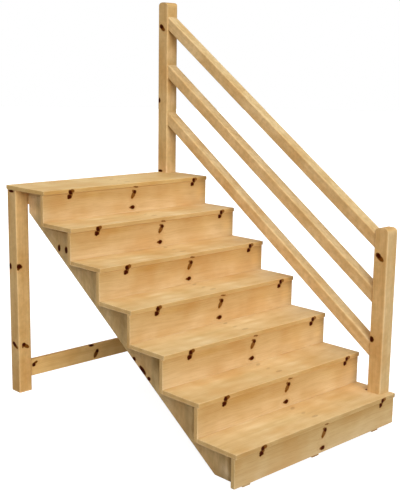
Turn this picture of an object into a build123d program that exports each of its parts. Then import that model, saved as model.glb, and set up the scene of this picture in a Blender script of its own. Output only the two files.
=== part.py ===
from build123d import *
import math
import os

# Outdoor wooden stairs with a landing board at the top and a rail on the right-hand side.
# Sizes are in millimetres. +X is to the right of someone going up, +Y is the way they go,
# +Z is up. The origin is on the ground, in the middle of the footprint.

# Driving sizes of the flight
board_length = 1245
step_count = 7
rise = 175
first_rise = 186
going = 250
landing_depth = 377

# Tread and riser boards
tread_thickness = 24
riser_thickness = 25
nosing = 8
riser_ground_gap = 15
board_edge_radius = 3

# Stringers
stringer_thickness = 50
stringer_board_width = 235
stringer_inset = 72
stringer_newel_gap = 28
stringer_toe = 12
stringer_edge_radius = 3

# Posts: the back legs and the two newels are cut from the same stock
post_size = 87
post_edge_radius = 8
post_inset = 3
newel_top_radius = 32
lower_newel_height = 910
lower_newel_setback = 4
upper_newel_height = 1083
notch_clearance = 0.5

# Rails
rail_thickness = 72
rail_depth = 69
rail_edge_radius = 8
top_rail_height = 792
rail_spacing = 300

# Back frame
beam_lead = 34
brace_height = 102
brace_thickness = 28
brace_ground_gap = 76

# Places that follow from the sizes above
left_end = -board_length / 2
right_end = board_length / 2
total_depth = (step_count - 1) * going + landing_depth
front_edge = -total_depth / 2
back_edge = total_depth / 2
slope = rise / going
pitch_angle = math.atan(slope)
riser_back_offset = nosing + riser_thickness

newel_right = right_end - post_inset
newel_left = newel_right - post_size
leg_left = left_end + post_inset
leg_right = leg_left + post_size
leg_back = back_edge - post_inset
leg_front = leg_back - post_size
beam_front = leg_front - beam_lead
lower_newel_front = front_edge + riser_back_offset + lower_newel_setback
lower_newel_back = lower_newel_front + post_size

left_stringer_left = left_end + stringer_inset
right_stringer_left = newel_left - stringer_newel_gap - stringer_thickness
centre_stringer_left = (left_stringer_left + right_stringer_left) / 2


def tread_front(step):
    """Y of the front edge of a step's board, counted from 1 at the bottom."""
    return front_edge + (step - 1) * going


def tread_top(step):
    """Height of a step's walking surface."""
    return first_rise + (step - 1) * rise


def tread_bottom(step):
    return tread_top(step) - tread_thickness


def pitch_line(y):
    """Height of the line that touches the front edges of the treads."""
    return first_rise + slope * (y - front_edge)


def block(low, high):
    """A box between its lowest and highest corners."""
    size = [b - a for a, b in zip(low, high)]
    return Pos(*low) * Box(*size, align=(Align.MIN, Align.MIN, Align.MIN))


def eased_block(low, high, radius):
    solid = block(low, high)
    return fillet(solid.edges(), radius)


def make_board(low, high):
    return eased_block(low, high, board_edge_radius)


def post_notch(post_left, post_front, post_back):
    """The open notch that lets a newel past the right-hand end of a board."""
    low = (post_left - notch_clearance, post_front - notch_clearance, 0)
    high = (right_end + notch_clearance, post_back + notch_clearance, tread_top(step_count) + rise)
    return block(low, high)


def make_tread(step):
    low = (left_end, tread_front(step), tread_bottom(step))
    high = (right_end, tread_front(step + 1) + nosing, tread_top(step))
    board = make_board(low, high)
    if step == 1:
        board -= post_notch(newel_left, lower_newel_front, lower_newel_back)
    return board


def make_landing():
    low = (left_end, tread_front(step_count), tread_bottom(step_count))
    high = (right_end, back_edge, tread_top(step_count))
    return make_board(low, high) - post_notch(newel_left, leg_front, back_edge)


def make_riser(step):
    foot = riser_ground_gap if step == 1 else tread_bottom(step - 1)
    front = tread_front(step) + nosing
    low = (left_end, front, foot)
    high = (right_end, front + riser_thickness, tread_bottom(step))
    return make_board(low, high)


def stringer_outline():
    """Side view of a cut stringer: a sawtooth top, a plumb back end and a flat foot.

    The foot ends in a low toe that carries the first riser.
    """
    first_cut = tread_front(1) + riser_back_offset
    toe_front = first_cut - stringer_toe
    points = [
        (toe_front, 0),
        (toe_front, riser_ground_gap),
        (first_cut, riser_ground_gap),
        (first_cut, tread_bottom(1)),
    ]
    for step in range(2, step_count + 1):
        cut = tread_front(step) + riser_back_offset
        points.append((cut, tread_bottom(step - 1)))
        points.append((cut, tread_bottom(step)))
    points.append((beam_front, tread_bottom(step_count)))
    plumb_depth = stringer_board_width / math.cos(pitch_angle)
    edge_at_first_cut = tread_bottom(1) - plumb_depth
    points.append((beam_front, edge_at_first_cut + slope * (beam_front - first_cut)))
    points.append((first_cut - edge_at_first_cut / slope, 0))
    return points


def make_stringer(left_face):
    profile = Plane.YZ * Polygon(*stringer_outline(), align=None)
    stringer = Pos(left_face, 0, 0) * extrude(profile, stringer_thickness, dir=(1, 0, 0))
    lower_run = total_depth / 2
    long_edges = [edge for edge in stringer.edges() if edge.length > lower_run]
    return fillet(long_edges, stringer_edge_radius)


def post_stock(length):
    """A square post along Z with its four long edges rounded over."""
    return extrude(RectangleRounded(post_size, post_size, post_edge_radius), length)


def rounded_top_cutter(length):
    """Everything under a newel's top, which is rounded over at the front and at the back."""
    half = post_size / 2
    bend = newel_top_radius
    outline = Polyline(
        (-half + bend, length),
        (half - bend, length),
    )
    outline += RadiusArc((half - bend, length), (half, length - bend), bend)
    outline += Polyline((half, length - bend), (half, 0), (-half, 0), (-half, length - bend))
    outline += RadiusArc((-half, length - bend), (-half + bend, length), bend)
    face = make_face(Plane.YZ * outline)
    return extrude(face, half, both=True)


def make_post(left_face, front_face, length):
    return Pos(left_face + post_size / 2, front_face + post_size / 2, 0) * post_stock(length)


def make_newel(left_face, front_face, length):
    newel = post_stock(length) & rounded_top_cutter(length)
    return Pos(left_face + post_size / 2, front_face + post_size / 2, 0) * newel


def make_rail(height):
    """A sloping rail with plumb-cut ends, between the two newels and in line with them."""
    plumb_depth = rail_depth / math.cos(pitch_angle)
    low_top = pitch_line(lower_newel_back) + height
    high_top = pitch_line(leg_front) + height
    outline = [
        (lower_newel_back, low_top),
        (leg_front, high_top),
        (leg_front, high_top - plumb_depth),
        (lower_newel_back, low_top - plumb_depth),
    ]
    left_face = newel_left + (post_size - rail_thickness) / 2
    profile = Plane.YZ * Polygon(*outline, align=None)
    rail = Pos(left_face, 0, 0) * extrude(profile, rail_thickness, dir=(1, 0, 0))
    run = math.dist(outline[0], outline[1])
    long_edges = [edge for edge in rail.edges() if edge.length > run - 1]
    return fillet(long_edges, rail_edge_radius)


def make_back_beam():
    """The beam between the back legs, under the landing, that the stringers butt against."""
    low = (leg_right, beam_front, tread_bottom(step_count) - post_size)
    high = (newel_left, beam_front + post_size, tread_bottom(step_count))
    beam = block(low, high)
    return fillet(beam.edges().filter_by(Axis.X), post_edge_radius)


def make_back_brace():
    middle = (leg_front + leg_back) / 2
    low = (leg_right, middle - brace_thickness / 2, brace_ground_gap)
    high = (newel_left, middle + brace_thickness / 2, brace_ground_gap + brace_height)
    brace = block(low, high)
    return fillet(brace.edges().filter_by(Axis.X), board_edge_radius)


parts = {}
for step in range(1, step_count):
    parts[f"tread_{step}"] = make_tread(step)
parts["landing"] = make_landing()
for step in range(1, step_count + 1):
    parts[f"riser_{step}"] = make_riser(step)

parts["stringer_left"] = make_stringer(left_stringer_left)
parts["stringer_centre"] = make_stringer(centre_stringer_left)
parts["stringer_right"] = make_stringer(right_stringer_left)

parts["back_leg_left"] = make_post(leg_left, leg_front, tread_bottom(step_count))
parts["upper_newel"] = make_newel(newel_left, leg_front, tread_top(step_count) + upper_newel_height)
parts["lower_newel"] = make_newel(newel_left, lower_newel_front, tread_top(1) + lower_newel_height)

parts["rail_top"] = make_rail(top_rail_height)
parts["rail_middle"] = make_rail(top_rail_height - rail_spacing)
parts["rail_bottom"] = make_rail(top_rail_height - 2 * rail_spacing)

parts["back_beam"] = make_back_beam()
parts["back_brace"] = make_back_brace()

os.makedirs("parts", exist_ok=True)
for node, shape in parts.items():
    export_step(shape, f"parts/{node}.step")
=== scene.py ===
"""Finish, light and camera for a short flight of outdoor wooden stairs in knotty pine."""

import math
import random
from functools import reduce

import bmesh
import bpy
from mathutils import Matrix, Vector


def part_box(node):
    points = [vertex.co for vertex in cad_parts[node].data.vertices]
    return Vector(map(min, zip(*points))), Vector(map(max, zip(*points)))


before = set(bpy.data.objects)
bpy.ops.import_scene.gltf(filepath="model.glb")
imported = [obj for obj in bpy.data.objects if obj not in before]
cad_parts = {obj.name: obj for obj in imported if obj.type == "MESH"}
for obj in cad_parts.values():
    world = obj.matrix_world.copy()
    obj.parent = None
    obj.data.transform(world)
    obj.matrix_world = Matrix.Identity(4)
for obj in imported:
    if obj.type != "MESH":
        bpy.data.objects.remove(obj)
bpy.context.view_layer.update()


# Shader maths
def both_ways(operation):
    """One of Wire's operators and its reflected form."""

    def forward(self, other):
        return self.math(operation, self, other)

    def reflected(self, other):
        return self.math(operation, other, self)

    return forward, reflected


class Wire:
    """A number on its way through a material. Sums on it add Math nodes."""

    def __init__(self, recipe, socket):
        self.recipe = recipe
        self.socket = socket

    def math(self, operation, *values):
        made = self.recipe.add("ShaderNodeMath", {"operation": operation}, dict(enumerate(values)))
        return Wire(self.recipe, made.outputs[0])

    __add__, __radd__ = both_ways("ADD")
    __sub__, __rsub__ = both_ways("SUBTRACT")
    __mul__, __rmul__ = both_ways("MULTIPLY")
    __truediv__, __rtruediv__ = both_ways("DIVIDE")
    __pow__, __rpow__ = both_ways("POWER")

    def __abs__(self):
        return self.math("ABSOLUTE", self)

    def most(self, other):
        return self.math("MAXIMUM", self, other)

    def least(self, other):
        return self.math("MINIMUM", self, other)

    def fraction(self):
        return self.math("FRACT", self)

    def rise(self, start, end):
        """0 up to start, 1 from end, smooth in between."""
        sockets = {"Value": self, "From Min": start, "From Max": end}
        made = self.recipe.add("ShaderNodeMapRange", {"interpolation_type": "SMOOTHSTEP"}, sockets)
        return Wire(self.recipe, made.outputs["Result"])


class Recipe:
    """The nodes of one material or of the surroundings, and the one way to add to them."""

    def __init__(self, owner):
        owner.use_nodes = True
        self.tree = owner.node_tree
        self.tree.nodes.clear()

    def add(self, kind, settings=None, sockets=None):
        made = self.tree.nodes.new(kind)
        for name, value in (settings or {}).items():
            setattr(made, name, value)
        for key, value in (sockets or {}).items():
            if isinstance(value, Wire):
                value = value.socket
            if isinstance(value, bpy.types.NodeSocket):
                self.tree.links.new(value, made.inputs[key])
            else:
                made.inputs[key].default_value = value
        return made

    def vector(self, operation, *values):
        made = self.add("ShaderNodeVectorMath", {"operation": operation}, dict(enumerate(values)))
        return made.outputs["Vector"]

    def measure(self, operation, first, second=(0, 0, 0)):
        made = self.add("ShaderNodeVectorMath", {"operation": operation}, {0: first, 1: second})
        return Wire(self, made.outputs["Value"])

    def parts(self, point):
        """The three numbers of a point, or of a colour."""
        split = self.add("ShaderNodeSeparateXYZ", None, {0: point})
        return [Wire(self, out) for out in split.outputs]

    def place(self, point, location, turn=(0, 0, 0), size=(1, 1, 1)):
        """A point as a piece sees it that lies at location, turned and of that size."""
        sockets = {"Vector": point, "Location": location, "Rotation": turn, "Scale": size}
        return self.add("ShaderNodeMapping", {"vector_type": "TEXTURE"}, sockets).outputs["Vector"]

    def reach(self, point, blob):
        """How far out a point lies in a knot or a patch: 0 in its middle, 1 at its rim."""
        return self.measure("LENGTH", self.place(point, blob["place"], blob["lean"], blob["half"]))

    def blend(self, factor, first, second, way="MIX"):
        settings = {"data_type": "RGBA", "blend_type": way}
        made = self.add("ShaderNodeMix", settings, {"Factor": factor, 6: first, 7: second})
        return made.outputs[2]

    def noise(self, point, scale, detail, roughness=0.5):
        """Noise from about 0.25 to 0.75, and the same noise as three channels."""
        stretched = self.vector("MULTIPLY", point, scale)
        sockets = {"Vector": stretched, "Scale": 1.0, "Detail": detail, "Roughness": roughness}
        made = self.add("ShaderNodeTexNoise", {"noise_dimensions": "3D"}, sockets)
        return Wire(self, made.outputs["Fac"]), made.outputs["Color"]

    def shell(self, surface):
        """Puts a surface on the output."""
        self.add("ShaderNodeOutputMaterial", None, {"Surface": surface})


# The flight's own measures. The stringers' first upright cut stands against riser 1's back
first_tread, second_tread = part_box("tread_1"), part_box("tread_2")
GOING = second_tread[0].y - first_tread[0].y
RISE = second_tread[1].z - first_tread[1].z
PITCH = math.atan(RISE / GOING)
FIRST_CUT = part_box("riser_1")[1].y

# How a board is turned, with its length along x at first
ALONG_X = (0, 0, 0)
ALONG_X_UPRIGHT = (math.radians(90), 0, 0)
ALONG_Z = (0, math.radians(-90), 0)
ALONG_PITCH = (math.radians(90), -PITCH, math.radians(90))

# Directions that a face may look in
TOWARDS_CLIMBER = (0, -1, 0)
TOWARDS_LEFT = (-1, 0, 0)
UPWARDS = (0, 0, 1)
DOWNWARDS = (0, 0, -1)
UP_FROM_PITCH = (0, -math.sin(PITCH), math.cos(PITCH))
DOWN_FROM_PITCH = (0, math.sin(PITCH), -math.cos(PITCH))

# The darker tone of painted shade on undersides, and on the brace's narrow edges
UNDER_SHADE = (0.76, 0.70, 0.62)

# Sides of a node's box: the axis, and 0 for its low end or 1 for its high end
LEFT_SIDE = (0, 0)
RIGHT_SIDE = (0, 1)
BACK_SIDE = (1, 1)
UNDERSIDE = (2, 0)

# Half sizes that take a patch past the whole stairs, and a height under their feet
ANY_LENGTH = 5.0
ANYWHERE = 9.0
BELOW_GROUND = -1.0


# Knots and patches
def knot(place, half, turn=0.0, dark=1.0, pin=False, axis=1):
    """A knot in a board: its place and half sizes in metres.

    It leans by turn, in degrees, round one axis. Dark is how much it darkens the wood, and a
    pin knot is brown all over.
    """
    lean = [0.0, 0.0, 0.0]
    lean[axis] = math.radians(turn)
    return {"place": place, "half": half, "lean": tuple(lean), "dark": dark, "pin": pin}


def shade(place, half, tint):
    """A soft patch of another tone: its place, its half sizes and the tint in its middle."""
    return {"place": place, "half": half, "lean": (0, 0, 0), "tint": tint + (1,)}


def tile(left, front, right, back):
    """A column of space from below the ground to above the stairs.

    The patches in it come back in the columns beside it.
    """
    return (left, front, BELOW_GROUND), (right, back, ANYWHERE)


# The knots on each side that the photo doesn't show: which are pin knots, the part of the side
# that they keep to, their sizes, how they are stretched, their depth and their lean
HIDDEN_PINS = (False, True, False)
HIDDEN_SPREAD = (0.15, 0.85)
HIDDEN_SIZES = (0.008, 0.013)
HIDDEN_STRETCH = (0.9, 1.5)
HIDDEN_DEPTH = 0.008
HIDDEN_LEAN = (-30, 30)


def hidden_knots(node, seed, sides):
    """A few knots at seeded places on sides of a board that the photo doesn't show."""
    chance = random.Random(seed)
    low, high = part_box(node)
    found = []
    for axis, end in sides:
        for pin in HIDDEN_PINS:
            place = [
                near + (far - near) * chance.uniform(*HIDDEN_SPREAD)
                for near, far in zip(low, high)
            ]
            place[axis] = (low, high)[end][axis]
            size = chance.uniform(*HIDDEN_SIZES)
            half = [size * chance.uniform(*HIDDEN_STRETCH) for _ in place]
            half[axis] = HIDDEN_DEPTH
            turn = chance.uniform(*HIDDEN_LEAN)
            found.append(knot(tuple(place), tuple(half), turn, pin=pin, axis=axis))
    return found


# Pine: its colours, and the tints that darken it, the painted corner shade among them
PALE = (0.735, 0.505, 0.232)
HONEY = (0.640, 0.405, 0.160)
AMBER = (0.640, 0.345, 0.112)
LATE_WOOD = (0.470, 0.245, 0.075)
# Worn wood, which also paints a highlight along eased edges
WORN_HIGHLIGHT = (0.800, 0.590, 0.320)
END_GRAIN = (0.420, 0.235, 0.085)
CLOUD_DARK = (0.84, 0.82, 0.78, 1)
# Painted shade for the stepped corners behind risers and under treads
CORNER_SHADE = (0.76, 0.69, 0.59, 1)
KNOT_HEART = (0.046, 0.004, 0.000, 1)
KNOT_RIM = (0.120, 0.030, 0.002, 1)
PIN_BROWN = (0.180, 0.056, 0.005, 1)

# Noises: the waves to a metre along, across and through a board, the detail and the roughness
KNOT_RAG = ((150, 150, 150), 1.0)
RING_WANDER = ((0.9, 3.5, 3.5), 2.0)
RING_UNEVEN = ((0.02, 45, 45), 1.0)
STREAK = ((3.0, 26, 26), 3.0, 0.55)
FIBRE = ((12, 180, 180), 4.0, 0.85)
PATCH = ((5.0, 5.0, 5.0), 2.0)
SCUFF = ((25, 60, 60), 2.0)
CLOUD_DETAIL = (3.0, 0.6)

# How far each step of a board's seed moves it through the noises
SEED_SHIFT = (3.1, 1.7, 0.9)

# Knots: how ragged they are, and where the body, the dark heart and the pull on the rings fade
KNOT_RAGGED = 0.007
KNOT_BODY = (0.80, 1.15)
KNOT_CORE = (0.45, 0.95)
KNOT_PULL = (0.7, 3.4)
KNOT_HALO = (0.35, 1.0)
HALO_SHARE = 0.25

# Growth rings: metres, then shifts in rings, then the parts of a ring where late wood comes and goes
RING_WIDTH = 0.0062
RING_DRIFT = 0.050
RING_SWELL = 0.010
UNEVEN_RINGS = 2.5
WANDER_RINGS = 1.5
LATE_COMES = (0.25, 0.88)
LATE_GOES = (0.90, 1.0)

# Grain: how strongly each noise tells, and the share of the darker wood that it brings in
PATCH_STRENGTH = 1.8
AMBER_PATCHES = 2.2
AMBER_DRIFT = 2.0
AMBER_START = 0.3
AMBER_RANGE = (0.1, 1.1)
AMBER_SHARE = 0.55
LATE_SHARE = 0.04
LATE_IN_STREAKS = 0.22
FIBRE_RANGE = (-0.05, 0.28)

# Edges and ends: the rubbed part of an eased edge's radius, which also takes a painted highlight,
# and the shares of worn wood with its painted highlight and of end wood
RUBBED_AND_HIGHLIGHTED = (0.35, 1.25)
WORN_HIGHLIGHT_SHARE = 0.10
WORN_HIGHLIGHT_BY_SCUFFS = 0.4
END_SHARE = 0.22
END_IN_RINGS = 0.45
FOOT_FALL = 1.3

# How squarely a face looks along the board before it takes end grain, and in a direction before it
# takes that direction's painted light or shade
END_FACING = (0.55, 0.95)
SIDE_FACING = (0.6, 0.9)

# Painted corner shade: how far it reaches in metres, and how it fades there and short of the tread
# below
CORNER_SHADE_BEHIND = 0.100
CORNER_SHADE_UNDER = 0.033
CORNER_SHADE_FADE = (0.75, 1.0)
CORNER_SHADE_END = (0.92, 1.0)

# Surface: roughness, what changes it, and the relief
ROUGHNESS = 0.58
FIBRE_ROUGHER = 0.18
END_ROUGHER = 0.15
LATE_SMOOTHER = 0.05
KNOT_SMOOTHER = 0.06
FIBRE_HEIGHT = 0.5
LATE_DEPTH = 0.5
KNOT_DEPTH = 0.8
RELIEF = 0.0006
RELIEF_STRENGTH = 0.35
SPECULAR = 0.03

# The look of a board that asks for nothing else
PLAIN_LOOK = {
    "tint": (1, 1, 1),
    "edge": 0.003,
    "rub": 1.0,
    "streaks": 2.2,
    "fibres": 0.24,
    "mottle": 0.0,
    "clouds": (34, 34, 34),
    "faces": (),
    "shades": (),
    "foot": None,
    "corners": None,
}


def turned(turn):
    """The rotation of a board that is turned round x, then y, then z."""
    rotation = Matrix.Identity(3)
    for axis, angle in zip("XYZ", turn):
        rotation = Matrix.Rotation(angle, 3, axis) @ rotation
    return rotation


class Pine(Recipe):
    """Solid pine for one board, whose finishes are laid over one another."""

    def __init__(self, material, centre, turn, half, seed, look):
        super().__init__(material)
        self.half = half
        self.look = look
        self.spot = self.add("ShaderNodeTexCoord").outputs["Object"]
        board = self.place(self.spot, centre, turn)
        self.far, self.across, self.through = self.parts(board)
        self.grain = self.vector("ADD", board, tuple(seed * shift for shift in SEED_SHIFT))
        self.outward = self.add("ShaderNodeNewGeometry").outputs["True Normal"]
        lengthwise = tuple(turned(turn) @ Vector((1, 0, 0)))
        self.end = abs(self.measure("DOT_PRODUCT", self.outward, lengthwise)).rise(*END_FACING)

    def tinted(self, colour):
        """A colour of the wood in this board's own tint."""
        return tuple(part * share for part, share in zip(colour, self.look["tint"])) + (1,)

    def lay(self, factor, colour, way="MIX"):
        """Lays a colour over what is there."""
        self.colour = self.blend(factor, self.colour, colour, way)

    def grow_knots(self, knots):
        """Ellipsoids with a ragged outline. Every board has some of both kinds."""
        _, rag = self.noise(self.spot, *KNOT_RAG)
        rag = self.vector("SUBTRACT", rag, (0.5, 0.5, 0.5))
        rag = self.vector("MULTIPLY", rag, (KNOT_RAGGED, KNOT_RAGGED, KNOT_RAGGED))
        ragged = self.vector("ADD", self.spot, rag)
        bodies = {True: [], False: []}
        hearts, pulls = [], []
        for one in knots:
            reach = self.reach(ragged, one)
            bodies[one["pin"]].append((1 - reach.rise(*KNOT_BODY)) * one["dark"])
            pulls.append((1 - reach.rise(*KNOT_PULL)) * one["dark"])
            if not one["pin"]:
                hearts.append(1 - reach.rise(*KNOT_CORE))
        self.dark_knot = reduce(Wire.most, bodies[False])
        self.pin_knot = reduce(Wire.most, bodies[True])
        self.heart = reduce(Wire.most, hearts)
        self.swell = reduce(Wire.most, pulls)

    def grow_rings(self, pith):
        """Growth rings round a pith that runs along the board. They swell round each knot."""
        wander, drift = self.noise(self.grain, *RING_WANDER)
        drift_across, drift_through, self.drift = self.parts(drift)
        side = self.across + (drift_across - 0.5) * RING_DRIFT - pith[0]
        deep = self.through + (drift_through - 0.5) * RING_DRIFT - pith[1]
        radius = (side * side + deep * deep) ** 0.5 - self.swell * RING_SWELL
        uneven, _ = self.noise(self.grain, *RING_UNEVEN)
        rings = radius / RING_WIDTH + uneven * UNEVEN_RINGS + wander * WANDER_RINGS
        growth = rings.fraction()
        self.late = growth.rise(*LATE_COMES) * (1 - growth.rise(*LATE_GOES))

    def lay_grain(self):
        """Pale to honey in streaks, amber in patches, then the late wood and the fibres."""
        streak, _ = self.noise(self.grain, *STREAK)
        self.fibre, _ = self.noise(self.grain, *FIBRE)
        patch, _ = self.noise(self.grain, *PATCH)
        tone = (streak - 0.5) * self.look["streaks"] + (patch - 0.5) * PATCH_STRENGTH + 0.5
        self.colour = self.blend(tone.rise(0.0, 1.0), self.tinted(PALE), self.tinted(HONEY))
        orange = (patch - 0.5) * AMBER_PATCHES + (self.drift - 0.5) * AMBER_DRIFT + AMBER_START
        self.lay(orange.rise(*AMBER_RANGE) * AMBER_SHARE, self.tinted(AMBER))
        self.lay(self.late * (LATE_SHARE + LATE_IN_STREAKS * streak), self.tinted(LATE_WOOD))
        dark_fibre = (self.fibre - 0.5).rise(*FIBRE_RANGE)
        self.lay(dark_fibre * self.look["fibres"], self.tinted(LATE_WOOD))

    def lay_edges(self):
        """The eased edges, which are rubbed a little paler and carry a painted highlight."""
        places = zip(self.half, (self.far, self.across, self.through))
        gaps = [half - abs(place) for half, place in places]
        low, high = gaps[0].least(gaps[1]), gaps[0].most(gaps[1])
        second = low.most(high.least(gaps[2]))
        start, end = (self.look["edge"] * share for share in RUBBED_AND_HIGHLIGHTED)
        eased = 1 - second.rise(start, end)
        scuff, _ = self.noise(self.grain, *SCUFF)
        worn_highlight = eased * (WORN_HIGHLIGHT_SHARE + WORN_HIGHLIGHT_BY_SCUFFS * scuff)
        self.lay(worn_highlight * self.look["rub"], self.tinted(WORN_HIGHLIGHT))

    def lay_clouds(self):
        """Darker clouds, on a board that is mottled."""
        if self.look["mottle"]:
            cloud, _ = self.noise(self.spot, self.look["clouds"], *CLOUD_DETAIL)
            clear = (cloud - 0.5) * self.look["mottle"] + 0.5
            clouded = self.blend(1.0, self.colour, CLOUD_DARK, "MULTIPLY")
            self.colour = self.blend(clear.rise(0.0, 1.0), clouded, self.colour)

    def lay_end_grain(self):
        """The darker ends, with darker rings."""
        self.lay(self.end * (END_SHARE + END_IN_RINGS * self.late), self.tinted(END_GRAIN))

    def lay_face_light_and_shade(self):
        """The faces that take painted light or shade, by the direction they look in."""
        for direction, tint in self.look["faces"]:
            facing = self.measure("DOT_PRODUCT", self.outward, direction).rise(*SIDE_FACING)
            self.lay(facing, tint + (1,), "MULTIPLY")

    def lay_shades(self):
        """The soft patches, in a tile that repeats or at one place."""
        for repeat, patches in self.look["shades"]:
            around = self.vector("WRAP", self.spot, repeat[1], repeat[0]) if repeat else self.spot
            for one in patches:
                self.lay(1 - self.reach(around, one).rise(0.0, 1.0), one["tint"], "MULTIPLY")

    def lay_foot_light(self):
        """The painted light, of bounce from below, that a board standing on its edge fades to at its
        lower edge.
        """
        if self.look["foot"]:
            depth = (0.5 - self.across / (2 * self.half[1])).most(0.0)
            self.lay(depth ** FOOT_FALL * (1 - self.end), self.look["foot"] + (1,), "MULTIPLY")

    def lay_corner_shade(self):
        """Painted shade behind each riser and under each tread."""
        if self.look["corners"]:
            back, under = self.look["corners"]
            _, run, height = self.parts(self.spot)
            along = (run - back) / GOING
            behind = along.fraction() * GOING
            below = (along - along.fraction()) * RISE + under - height
            corner_shade = 1 - (behind / CORNER_SHADE_BEHIND).least(below / CORNER_SHADE_UNDER).rise(*CORNER_SHADE_FADE)
            ended = (below / RISE).rise(*CORNER_SHADE_END)
            self.lay(corner_shade * (1 - ended), CORNER_SHADE, "MULTIPLY")

    def lay_knots(self):
        """Amber wood round the knots, and the knots themselves over the rest."""
        self.lay(self.swell.rise(*KNOT_HALO) * HALO_SHARE, self.tinted(AMBER))
        self.lay(self.pin_knot, PIN_BROWN)
        self.lay(self.dark_knot, self.blend(self.heart, KNOT_RIM, KNOT_HEART))

    def close(self):
        """The planed surface, with its roughness and fine relief."""
        rough = ROUGHNESS + (self.fibre - 0.5) * FIBRE_ROUGHER + self.end * END_ROUGHER
        rough = rough - self.late * LATE_SMOOTHER - self.dark_knot * KNOT_SMOOTHER
        height = self.fibre * FIBRE_HEIGHT - self.late * LATE_DEPTH - self.dark_knot * KNOT_DEPTH
        bumps = {"Strength": RELIEF_STRENGTH, "Distance": RELIEF, "Height": height}
        normal = self.add("ShaderNodeBump", None, bumps).outputs["Normal"]
        sockets = {
            "Base Color": self.colour,
            "Roughness": rough,
            "Normal": normal,
            "Specular IOR Level": SPECULAR,
        }
        self.shell(self.add("ShaderNodeBsdfPrincipled", None, sockets).outputs["BSDF"])


def finish_board(node, turn, pith, seed, knots, **look):
    """Gives a CAD node its own piece of pine.

    The pith is the place of the tree's middle, across and through the board. The look may have
    a tint for the whole board, the radius of its eased edges and how rubbed they are, which also
    sets their painted highlight, how strong its streaks and fibres are, and how mottled it is, with
    the clouds to a metre. Each of its faces is a direction and the painted light or shade of a
    face that looks that way. Each of its shades is a tile, or None, and the patches in it, of tone
    and of painted light and shade. The foot is the painted light at its lower edge. The corners
    are the y and z of the first of the stepped corners that hold painted shade.
    """
    low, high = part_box(node)
    centre = (low + high) / 2
    half = [abs(part) for part in turned(turn).inverted() @ (high - centre)]
    material = bpy.data.materials.new(f"{node}_pine")
    board = Pine(material, centre, turn, half, seed, PLAIN_LOOK | look)
    board.grow_knots(knots)
    board.grow_rings(pith)
    board.lay_grain()
    board.lay_edges()
    board.lay_clouds()
    board.lay_end_grain()
    board.lay_face_light_and_shade()
    board.lay_shades()
    board.lay_foot_light()
    board.lay_corner_shade()
    board.lay_knots()
    board.close()
    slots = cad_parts[node].data.materials
    slots.clear()
    slots.append(material)


# Treads and landing
STEPS = 7
TREAD_PITH = (0.020, -0.075)
TREAD_GRAIN = {"streaks": 1.05, "fibres": 0.38}
TREAD_TINT = (1.03, 1.08, 1.18)
LANDING_TINT = (1.02, 1.07, 1.08)
# Painted shade on the treads' front edges, darker on the first tread, and painted light on their
# left ends
TREAD_EDGE_SHADE = (0.91, 0.845, 0.72)
FIRST_EDGE_SHADE = (0.80, 0.76, 0.68)
TREAD_END_LIGHT = (1.055, 1.04, 0.98)

# The tile of pale and warm patches: its left end, its sizes, and how far back its first row is
TILE_LEFT = -0.510
TILE_LENGTH = 0.474
TILE_DEPTH = 0.0734
FIRST_ROW = 0.034


def step_edge_knots(front, top):
    """The knots on a tread's front edge."""
    return [
        knot((-0.4430, front, top - 0.0175), (0.0130, 0.006, 0.0140), -25),
        knot((-0.4290, front, top - 0.0130), (0.0165, 0.005, 0.0115), pin=True, dark=0.95),
        knot((0.0380, front, top - 0.0250), (0.0230, 0.004, 0.0060), 10, pin=True, dark=0.8),
        knot((0.5075, front, top - 0.0170), (0.0125, 0.006, 0.0135), -25),
        knot((0.5215, front, top - 0.0130), (0.0165, 0.005, 0.0115), pin=True, dark=0.85),
    ]


def tread_top_knots(front, top):
    """The soft, pale knots on a tread's walking face."""
    return [
        knot((0.026, front + 0.222, top), (0.022, 0.010, 0.006), 25, pin=True, dark=0.28, axis=2),
        knot((0.018, front + 0.142, top), (0.020, 0.009, 0.006), 25, pin=True, dark=0.18, axis=2),
        knot((0.027, front + 0.074, top), (0.024, 0.011, 0.006), 4, pin=True, dark=0.26, axis=2),
    ]


def joint_light(front, top):
    """The painted light along the joint between a tread's front edge and the riser below it, which
    lifts the shadow under the nosing.
    """
    return shade((0.0, front, top - 0.026), (ANY_LENGTH, 0.006, 0.010), (1.12, 1.14, 1.13))


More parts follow.
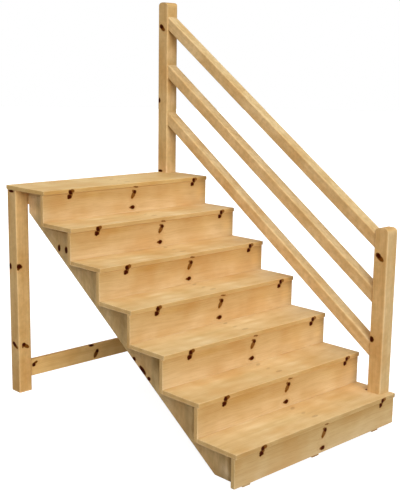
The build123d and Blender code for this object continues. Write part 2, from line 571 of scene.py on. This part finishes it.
def tread_shades(low, high, first):
    """The patches that repeat over a tread, and those of its front edge, corners and ends, painted
    light and painted shade among them.
    """
    front, top = low.y, high.z
    row = front + FIRST_ROW
    half_row = TILE_DEPTH / 2
    repeat = tile(TILE_LEFT, row - half_row, TILE_LEFT + TILE_LENGTH, row + half_row)
    patches = [
        shade((-0.298, row, top), (0.105, 0.040, ANYWHERE), (1.08, 1.15, 1.28)),
        shade((-0.464, row, top), (0.046, 0.040, ANYWHERE), (1.03, 1.05, 1.08)),
        shade((-0.125, row, top), (0.090, 0.042, ANYWHERE), (0.95, 0.92, 0.85)),
    ]
    once = [
        shade((-0.300, front, top - 0.012), (0.500, 0.004, 0.040), (0.95, 0.93, 0.88)),
        shade((0.585, front, top - 0.016), (0.070, 0.004, 0.014), (0.85, 0.83, 0.83)),
        # painted shade on the tip of the front edge's right end
        shade((high.x, front, top - 0.014), (0.014, 0.010, 0.022), (0.50, 0.50, 0.50)),
        shade((0.560, front + 0.220, top), (0.170, 0.090, 0.010), (1.13, 1.18, 1.27)),
        shade((-0.200, front + 0.135, top), (0.400, 0.070, 0.010), (0.94, 0.95, 0.92)),
        joint_light(front, top),
        # painted light on the left end's lower edge
        shade((low.x, front, top - 0.025), (0.006, ANY_LENGTH, 0.012), (1.20, 1.25, 1.42)),
    ]
    if first:
        # painted light on the first tread, where the lower newel's shadow falls
        once.append(shade((0.505, front + 0.165, top), (0.110, 0.115, 0.010), (1.18, 1.24, 1.38)))
    else:
        # painted light at the right-hand end, where the rails' shadow falls
        once.append(shade((0.580, front + 0.020, top), (0.085, 0.120, ANYWHERE), (1.25, 1.25, 1.19)))
    return [(repeat, patches), (None, once)]


def finish_tread(step):
    """A tread or the landing. The first tread has one more knot, beside the lower newel."""
    first = step == 1
    last = step == STEPS
    node = "landing" if last else f"tread_{step}"
    low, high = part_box(node)
    knots = step_edge_knots(low.y, high.z) + tread_top_knots(low.y, high.z)
    if first:
        knots.append(knot((0.5516, low.y + 0.1378, high.z), (0.009, 0.009, 0.006)))
    knots += hidden_knots(node, step, [UNDERSIDE])
    edge_shade = FIRST_EDGE_SHADE if first else TREAD_EDGE_SHADE
    finish_board(
        node, ALONG_X, TREAD_PITH, step, knots,
        tint=LANDING_TINT if last else TREAD_TINT,
        # painted shade on the front edge and painted light on the left end
        faces=[(TOWARDS_CLIMBER, edge_shade), (TOWARDS_LEFT, TREAD_END_LIGHT)],
        shades=[] if last else tread_shades(low, high, first),
        **TREAD_GRAIN,
    )


# Risers
RISER_PITH = (-0.030, -0.070)
RISER_SEED = 10
RISER_GRAIN = {"streaks": 1.15, "fibres": 0.42}
RISER_TINT = (0.88, 0.82, 0.72)
# Painted light on the risers' left ends and, of bounce from below, at their feet; the first riser's
# darker, greyer tint is painted shade for the warm bounce it lacks from a tread below
RISER_END_LIGHT = (1.22, 1.31, 1.46)
RISER_FOOT_LIGHT = (1.28, 1.50, 2.10)
FIRST_RISER_SHADE = (0.78, 0.76, 0.70)
FIRST_RISER_END_LIGHT = (1.33, 1.50, 1.78)
FIRST_RISER_FOOT_LIGHT = (1.22, 1.36, 1.75)


def riser_knots(front, top):
    """The knots on a riser, measured down from the walking face above it."""
    return [
        knot((-0.4335, front, top - 0.0270), (0.0145, 0.02, 0.0060)),
        knot((-0.4325, front, top - 0.0350), (0.0110, 0.02, 0.0090), pin=True, dark=0.85),
        knot((-0.4425, front, top - 0.0435), (0.0170, 0.03, 0.0120), 20),
        knot((-0.4470, front, top - 0.0500), (0.0120, 0.03, 0.0085)),
        knot((0.0380, front, top - 0.0250), (0.0230, 0.02, 0.0060), 10, pin=True, dark=0.8),
        knot((0.0325, front, top - 0.0550), (0.0130, 0.03, 0.0120), 20, dark=0.95),
        knot((0.0225, front, top - 0.0490), (0.0125, 0.02, 0.0085), 15, pin=True, dark=0.85),
        knot((0.0215, front, top - 0.0715), (0.0140, 0.03, 0.0275), 35, pin=True, dark=0.92),
        knot((0.0120, front, top - 0.0860), (0.0090, 0.03, 0.0095), 30, pin=True),
        knot((0.0165, front, top - 0.1462), (0.0170, 0.03, 0.0128)),
        knot((0.0040, front, top - 0.1460), (0.0140, 0.02, 0.0075), pin=True, dark=0.95),
        knot((0.5180, front, top - 0.0265), (0.0140, 0.02, 0.0065), dark=0.95),
        knot((0.5160, front, top - 0.0340), (0.0100, 0.02, 0.0080), pin=True, dark=0.75),
        knot((0.5040, front, top - 0.0430), (0.0160, 0.03, 0.0115), 25),
        knot((0.5000, front, top - 0.0490), (0.0115, 0.03, 0.0080)),
    ]


def riser_shades(front, top):
    """A riser's painted light at its right-hand end, where the rails' shadow falls, and along its
    upper edge, its paler patches, and its warm patch.
    """
    return [(None, [
        # painted light at the right-hand end, where the rails' shadow falls
        shade((0.580, front, top - 0.097), (0.080, ANYWHERE, 0.090), (1.27, 1.30, 1.28)),
        joint_light(front, top),
        shade((0.375, front, top - 0.095), (0.170, ANYWHERE, 0.170), (1.10, 1.16, 1.22)),
        shade((-0.110, front, top - 0.130), (0.140, ANYWHERE, 0.090), (1.07, 1.09, 1.12)),
        shade((-0.300, front, top - 0.046), (0.200, ANYWHERE, 0.032), (0.97, 0.92, 0.78)),
    ])]


def finish_riser(step):
    """The riser under the front edge of a step's board."""
    first = step == 1
    node = f"riser_{step}"
    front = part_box(node)[0].y
    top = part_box("landing" if step == STEPS else f"tread_{step}")[1].z
    finish_board(
        node, ALONG_X_UPRIGHT, RISER_PITH, RISER_SEED + step, riser_knots(front, top),
        # the first riser's tint is painted shade, and the ends and foot carry painted light
        tint=FIRST_RISER_SHADE if first else RISER_TINT,
        faces=[(TOWARDS_LEFT, FIRST_RISER_END_LIGHT if first else RISER_END_LIGHT)],
        shades=[] if first else riser_shades(front, top),
        foot=FIRST_RISER_FOOT_LIGHT if first else RISER_FOOT_LIGHT,
        **RISER_GRAIN,
    )


# Stringers
STRINGER_SIDES = ("left", "centre", "right")
STRINGER_PITH = (0.050, 0.060)
STRINGER_SEED = 20
STRINGER_CLOUDS = (60, 60, 16)
STRINGER_TINT = (0.93, 0.91, 0.89)

# The upright stripes on the left stringer's outer side come back at each step
STRIPES_START = FIRST_CUT - 0.100
STRIPES_REACH = 1.0


def left_stringer_knots(face):
    """The knots on the outer side, from the top down."""
    return [
        knot((face, 0.5234, 0.9184), (0.006, 0.014, 0.021)),
        knot((face, 0.4576, 0.9163), (0.006, 0.014, 0.021)),
        knot((face, -0.1278, 0.4321), (0.006, 0.015, 0.012)),
        knot((face, -0.1957, 0.3881), (0.006, 0.032, 0.015), 35, axis=0),
        knot((face, -0.2456, 0.3552), (0.006, 0.014, 0.011)),
    ]


def left_stringer_shades(face):
    """The outer side's patches from the toe to the top, with painted light in the shade under the
    landing, and its stripes.
    """
    stripes = [
        shade((face, FIRST_CUT - 0.005, 0), (ANYWHERE, 0.042, ANYWHERE), (1.09, 1.13, 1.22)),
        shade((face, FIRST_CUT + 0.090, 0), (ANYWHERE, 0.026, ANYWHERE), (1.10, 1.14, 1.15)),
        shade((face, FIRST_CUT + 0.124, 0), (ANYWHERE, 0.032, ANYWHERE), (0.88, 0.89, 0.88)),
    ]
    once = [
        shade((face + 0.025, -0.9175, 0.0070), (0.060, 0.014, 0.022), (1.35, 1.60, 2.00)),
        shade((face, -0.8055, 0.0400), (0.010, 0.065, 0.070), (1.38, 1.50, 1.85)),
        shade((face, -0.7700, 0.0800), (0.010, 0.130, 0.080), (1.08, 1.11, 1.16)),
        shade((face, -0.3150, 0.4580), (0.010, 0.065, 0.085), (0.58, 0.52, 0.40)),
        shade((face, -0.0650, 0.6200), (0.010, 0.190, 0.160), (0.88, 0.87, 0.82)),
        # painted light in the shade under the landing and the last tread
        shade((face, 0.7300, 1.1850), (0.010, 0.150, 0.090), (1.15, 1.20, 1.33)),
        shade((face, 0.7450, 1.0900), (0.010, 0.095, 0.050), (1.32, 1.35, 1.42)),
        shade((face, 0.7450, 1.2050), (0.010, 0.120, 0.035), (1.20, 1.27, 1.42)),
        shade((face, 0.8000, 1.1300), (0.010, 0.080, 0.110), (1.28, 1.27, 1.40)),
    ]
    repeat = tile(-STRIPES_REACH, STRIPES_START, STRIPES_REACH, STRIPES_START + GOING)
    return [(None, once), (repeat, stripes)]


def finish_stringer(number, side):
    """A stringer. Only the left one's outer side shows in the photo."""
    node = f"stringer_{side}"
    seed = STRINGER_SEED + number
    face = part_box(node)[0].x
    if side == "left":
        knots = hidden_knots(node, seed + 1, [RIGHT_SIDE]) + left_stringer_knots(face)
        shades = left_stringer_shades(face)
    else:
        knots = hidden_knots(node, seed + 1, [LEFT_SIDE, RIGHT_SIDE])
        shades = []
    finish_board(
        node, ALONG_PITCH, STRINGER_PITH, seed, knots,
        tint=STRINGER_TINT, mottle=2.1, clouds=STRINGER_CLOUDS, shades=shades,
        # painted shade on the underside
        faces=[(DOWN_FROM_PITCH, UNDER_SHADE)],
        corners=(FIRST_CUT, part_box("tread_1")[0].z),
    )


# Rails
RAIL_SIDES = ("top", "middle", "bottom")
RAIL_PITH = (0.040, -0.050)
RAIL_SEED = 30
RAIL_EDGE = 0.008
RAIL_TINT = (1.20, 1.24, 1.37)
# The painted light and shade on each rail's top face, darkest on the top rail
RAIL_TOP_LIGHT_AND_SHADE = {
    "top": (0.85, 0.90, 0.95),
    "middle": (0.97, 1.01, 1.07),
    "bottom": (0.97, 1.01, 1.07),
}


def finish_rail(number, side):
    """A rail, whose top and underside have painted light and shade of their own."""
    node = f"rail_{side}"
    seed = RAIL_SEED + number
    finish_board(
        node, ALONG_PITCH, RAIL_PITH, seed, hidden_knots(node, seed + 1, [RIGHT_SIDE]),
        tint=RAIL_TINT, edge=RAIL_EDGE, rub=0.1, mottle=2.3,
        faces=[(UP_FROM_PITCH, RAIL_TOP_LIGHT_AND_SHADE[side]), (DOWN_FROM_PITCH, UNDER_SHADE)],
    )


# Posts
POST_PITH = (0.050, -0.050)
POST_SEED = 40
POST_EDGE = 0.008
LEG_TINT = (0.945, 0.92, 0.90)
# Painted light on the leg's front, and painted shade on the newels' fronts
LEG_FRONT_LIGHT = (1.165, 1.125, 1.045)
UPPER_NEWEL_TINT = (1.06, 1.065, 1.075)
UPPER_NEWEL_FRONT_SHADE = (0.965, 0.985, 0.985)
LOWER_NEWEL_TINT = (1.11, 1.10, 1.10)
LOWER_NEWEL_FRONT_SHADE = (0.92, 0.98, 1.11)
RAIL_SHADOW = (0.68, 0.63, 0.55)


def leg_knots(left, front):
    """The knots on the back left leg's outer side and front."""
    return [
        knot((left, 0.8894, 1.2040), (0.006, 0.027, 0.009)),
        knot((left, 0.9169, 0.7599), (0.006, 0.014, 0.020)),
        knot((left, 0.8950, 0.2911), (0.006, 0.022, 0.014), 25, axis=0),
        knot((left, 0.8820, 0.2821), (0.006, 0.027, 0.011), 25, pin=True, axis=0),
        knot((-0.6043, front, 0.7660), (0.022, 0.006, 0.015), 15),
        knot((-0.6113, front, 0.7580), (0.016, 0.005, 0.015), pin=True),
        knot((-0.5850, front, 0.2925), (0.014, 0.006, 0.012), 20),
        knot((-0.5690, front, 0.2805), (0.025, 0.005, 0.012), 32, pin=True),
        knot((-0.5925, front, 0.2830), (0.007, 0.005, 0.012), pin=True),
    ]


def upper_newel_knots(left):
    """The knots on the side towards the steps."""
    return [
        knot((left, 0.9042, 2.1687), (0.006, 0.020, 0.015), 30, axis=0),
        knot((left, 0.8927, 2.1577), (0.006, 0.027, 0.014), 35, pin=True, axis=0),
        knot((left, 0.9199, 1.7031), (0.006, 0.010, 0.017)),
        knot((left, 0.9077, 1.2457), (0.006, 0.022, 0.009)),
    ]


def lower_newel_knots(left):
    """The knots on the side towards the steps."""
    return [
        knot((left, -0.8459, 0.9471), (0.006, 0.020, 0.015), 30, axis=0),
        knot((left, -0.8578, 0.9351), (0.006, 0.027, 0.014), 35, pin=True, axis=0),
        knot((left, -0.8294, 0.4839), (0.006, 0.015, 0.018)),
    ]


def upper_newel_shades(low, high):
    """The painted shadow under each rail, the painted light on the front between them, and the
    painted light at its foot on the landing.
    """
    centre = (low + high) / 2
    middle, front = centre.x, low.y
    patches = []
    for side in RAIL_SIDES:
        rail_low, rail_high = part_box(f"rail_{side}")
        under = rail_low.z + (rail_high.y - rail_low.y) * RISE / GOING
        patches.append(shade((middle, front, under - 0.010), (0.055, 0.006, 0.034), RAIL_SHADOW))
    patches += [
        # painted light at the foot on the landing and on the front between the rails
        shade((middle, centre.y, 1.2360), (0.200, 0.200, 0.100), (1.26, 1.38, 1.75)),
        shade((middle, front, 1.4200), (0.060, 0.006, 0.130), (1.15, 1.16, 1.26)),
        shade((middle, front, 1.7100), (0.060, 0.006, 0.080), (1.16, 1.21, 1.38)),
        shade((middle, front, 2.0000), (0.060, 0.006, 0.080), (1.22, 1.31, 1.60)),
    ]
    return [(None, patches)]


def finish_post(number, node, knots, tint, front_light_and_shade, shades=()):
    """A leg or a newel, whose front has painted light or shade of its own."""
    seed = POST_SEED + number
    knots = knots + hidden_knots(node, seed + 1, [RIGHT_SIDE, BACK_SIDE])
    finish_board(
        node, ALONG_Z, POST_PITH, seed, knots,
        tint=tint, edge=POST_EDGE, mottle=1.4, shades=shades,
        faces=[(TOWARDS_CLIMBER, front_light_and_shade)],
    )


def finish_posts():
    """The back left leg and the two newels."""
    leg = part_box("back_leg_left")[0]
    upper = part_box("upper_newel")
    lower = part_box("lower_newel")[0]
    finish_post(0, "back_leg_left", leg_knots(leg.x, leg.y), LEG_TINT, LEG_FRONT_LIGHT)
    finish_post(1, "upper_newel", upper_newel_knots(upper[0].x),
                UPPER_NEWEL_TINT, UPPER_NEWEL_FRONT_SHADE, upper_newel_shades(*upper))
    finish_post(2, "lower_newel", lower_newel_knots(lower.x),
                LOWER_NEWEL_TINT, LOWER_NEWEL_FRONT_SHADE)


# Back beam and brace
BEAM_PITH = (0.030, -0.060)
BEAM_SEED = 50
# Painted light on the beam's left end, in the shade under the landing
BEAM_END_LIGHT = (1.50, 1.55, 1.55)
BRACE_PITH = (0.030, -0.050)
BRACE_SEED = 51
BRACE_TINT = (1.28, 1.22, 1.07)


def brace_knots(front):
    """The knots on the brace's front."""
    return [
        knot((-0.4984, front, 0.1422), (0.013, 0.02, 0.013)),
        knot((-0.4870, front, 0.1540), (0.008, 0.01, 0.018), 72, pin=True),
        knot((-0.0655, front, 0.1775), (0.021, 0.02, 0.010)),
        knot((-0.0300, front, 0.1155), (0.014, 0.02, 0.031), 31, pin=True),
        knot((-0.0210, front, 0.1305), (0.013, 0.02, 0.013)),
    ]


def finish_back_frame():
    """The beam under the landing, and the brace near the ground."""
    finish_board(
        "back_beam", ALONG_X, BEAM_PITH, BEAM_SEED,
        hidden_knots("back_beam", BEAM_SEED, [BACK_SIDE, UNDERSIDE]),
        faces=[(TOWARDS_LEFT, BEAM_END_LIGHT)],
    )
    finish_board(
        "back_brace", ALONG_X_UPRIGHT, BRACE_PITH, BRACE_SEED,
        brace_knots(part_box("back_brace")[0].y),
        # painted shade on the brace's narrow top and bottom edges
        tint=BRACE_TINT, rub=0.0, faces=[(UPWARDS, UNDER_SHADE), (DOWNWARDS, UNDER_SHADE)],
    )


# Floor, light and camera
FLOOR_RADIUS = 40.0
FLOOR_DROP = 0.0003
FLOOR_BASE = (0.5, 0.5, 0.5, 1)
FLOOR_GLOW = (0.91, 0.91, 0.91, 1)
NO_GLOW = (0, 0, 0, 1)
WHITE = (1, 1, 1, 1)
SKY_STRENGTH = 0.03
LAMP_SPREAD = math.radians(50)

# Where each lamp's light comes from, and its strength
LAMPS = {
    "low_key": ((-0.43, -0.90, 0.22), 0.34),
    "key": ((-0.43, -0.90, 0.66), 0.46),
    "left": ((-0.85, -0.53, 0.85), 0.12),
    "top": ((0.0, 0.0, 1.0), 0.54),
    "back": ((0.6, 0.8, 0.35), 0.19),
}

# The camera's place in metres, its angles, and its lens and sensor in millimetres
CAMERA_PLACE = (-3.4853, -3.6620, 1.9064)
CAMERA_TURN = math.radians(-43.848)
CAMERA_DOWN = math.radians(10.854)
CAMERA_ROLL = math.radians(0.817)
CAMERA_LENS = 67.585
SENSOR_WIDTH = 36.0


def pale_floor():
    """A wide pale disc just under the feet, which is nearly white to the camera."""
    shape = bmesh.new()
    bmesh.ops.create_circle(shape, cap_ends=True, segments=96, radius=FLOOR_RADIUS)
    bmesh.ops.translate(shape, vec=(0, 0, -FLOOR_DROP), verts=shape.verts)
    mesh = bpy.data.meshes.new("floor")
    shape.to_mesh(mesh)
    shape.free()
    floor = bpy.data.objects.new("floor", mesh)
    bpy.context.scene.collection.objects.link(floor)
    material = bpy.data.materials.new("floor_white")
    recipe = Recipe(material)
    seen = recipe.add("ShaderNodeLightPath").outputs["Is Camera Ray"]
    sockets = {
        "Base Color": FLOOR_BASE,
        "Roughness": 0.9,
        "Specular IOR Level": 0.0,
        "Emission Color": recipe.blend(seen, NO_GLOW, FLOOR_GLOW),
        "Emission Strength": 1.0,
    }
    recipe.shell(recipe.add("ShaderNodeBsdfPrincipled", None, sockets).outputs["BSDF"])
    mesh.materials.append(material)


def surroundings():
    """White behind the object, and a much weaker white that lights it."""
    world = bpy.data.worlds.new("studio")
    bpy.context.scene.world = world
    recipe = Recipe(world)
    seen = Wire(recipe, recipe.add("ShaderNodeLightPath").outputs["Is Camera Ray"])
    strength = seen * (1 - SKY_STRENGTH) + SKY_STRENGTH
    sockets = {"Color": WHITE, "Strength": strength}
    lit = recipe.add("ShaderNodeBackground", None, sockets).outputs["Background"]
    recipe.add("ShaderNodeOutputWorld", None, {"Surface": lit})


def soft_light(name, source, strength):
    """A wide, soft light. At a strength of 1 it lights a face turned to it as a white sky does."""
    data = bpy.data.lights.new(name, "SUN")
    data.energy = math.pi * strength
    data.angle = LAMP_SPREAD
    lamp = bpy.data.objects.new(name, data)
    lamp.rotation_euler = Vector(source).to_track_quat("Z", "Y").to_euler()
    bpy.context.scene.collection.objects.link(lamp)


def stand_camera():
    """The camera that was solved from the photo's own lines."""
    data = bpy.data.cameras.new("camera")
    data.sensor_width = SENSOR_WIDTH
    data.lens = CAMERA_LENS
    camera = bpy.data.objects.new("camera", data)
    bpy.context.scene.collection.objects.link(camera)
    turn = Matrix.Rotation(CAMERA_TURN, 4, "Z")
    tilt = Matrix.Rotation(math.radians(90) - CAMERA_DOWN, 4, "X")
    roll = Matrix.Rotation(CAMERA_ROLL, 4, "Z")
    camera.matrix_world = Matrix.Translation(CAMERA_PLACE) @ turn @ tilt @ roll
    bpy.context.scene.camera = camera


for step in range(1, STEPS + 1):
    finish_tread(step)
    finish_riser(step)
for number, side in enumerate(STRINGER_SIDES):
    finish_stringer(number, side)
for number, side in enumerate(RAIL_SIDES):
    finish_rail(number, side)
finish_posts()
finish_back_frame()

pale_floor()
surroundings()
for name, (source, strength) in LAMPS.items():
    soft_light(name, source, strength)
stand_camera()
bpy.context.scene.view_settings.view_transform = "Standard"
